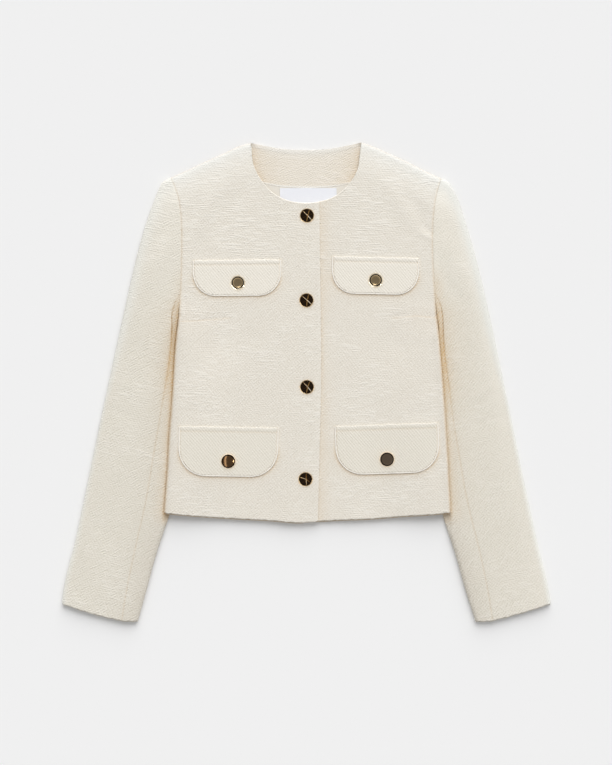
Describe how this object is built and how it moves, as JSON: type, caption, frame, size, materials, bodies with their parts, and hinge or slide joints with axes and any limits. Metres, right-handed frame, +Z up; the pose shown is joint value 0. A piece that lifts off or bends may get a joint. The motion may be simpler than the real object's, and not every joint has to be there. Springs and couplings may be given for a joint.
{
  "type": "cropped tweed jacket",
  "caption": "Collarless cropped tweed jacket laid flat and buttoned, with long set-in sleeves, piped pocket flaps and domed metal buttons.",
  "frame": {"origin": "middle of the jacket's box, on the surface that it lies on", "axes": "+X to the wearer's left, +Y to the neck, +Z up, away from the surface"},
  "size_m": [0.6848, 0.6701, 0.0175],
  "materials": {
    "cream_tweed": "matt cream wool tweed, loose twill weave with slubs",
    "cream_lining": "cream satin lining",
    "white_label": "bare white woven satin label",
    "ecru_piping": "off-white corded piping",
    "polished_gold": "polished gold-tone metal"
  },
  "bodies": {
    "root": {"back": "cream_tweed", "front_right": "cream_tweed", "front_left": "cream_tweed", "upper_sleeve_right": "cream_tweed", "upper_sleeve_left": "cream_tweed", "under_sleeve_right": "cream_tweed", "under_sleeve_left": "cream_tweed", "back_neck_facing": "cream_tweed", "flap_chest_right": "cream_tweed", "flap_chest_left": "cream_tweed", "flap_waist_right": "cream_tweed", "flap_waist_left": "cream_tweed", "back_lining": "cream_lining", "neck_label": "white_label", "piping_chest_right": "ecru_piping", "piping_chest_left": "ecru_piping", "piping_waist_right": "ecru_piping", "piping_waist_left": "ecru_piping", "front_button_1": "polished_gold", "front_button_2": "polished_gold", "front_button_3": "polished_gold", "front_button_4": "polished_gold", "button_chest_right": "polished_gold", "button_chest_left": "polished_gold", "button_waist_right": "polished_gold", "button_waist_left": "polished_gold"}
  },
  "joints": []
}
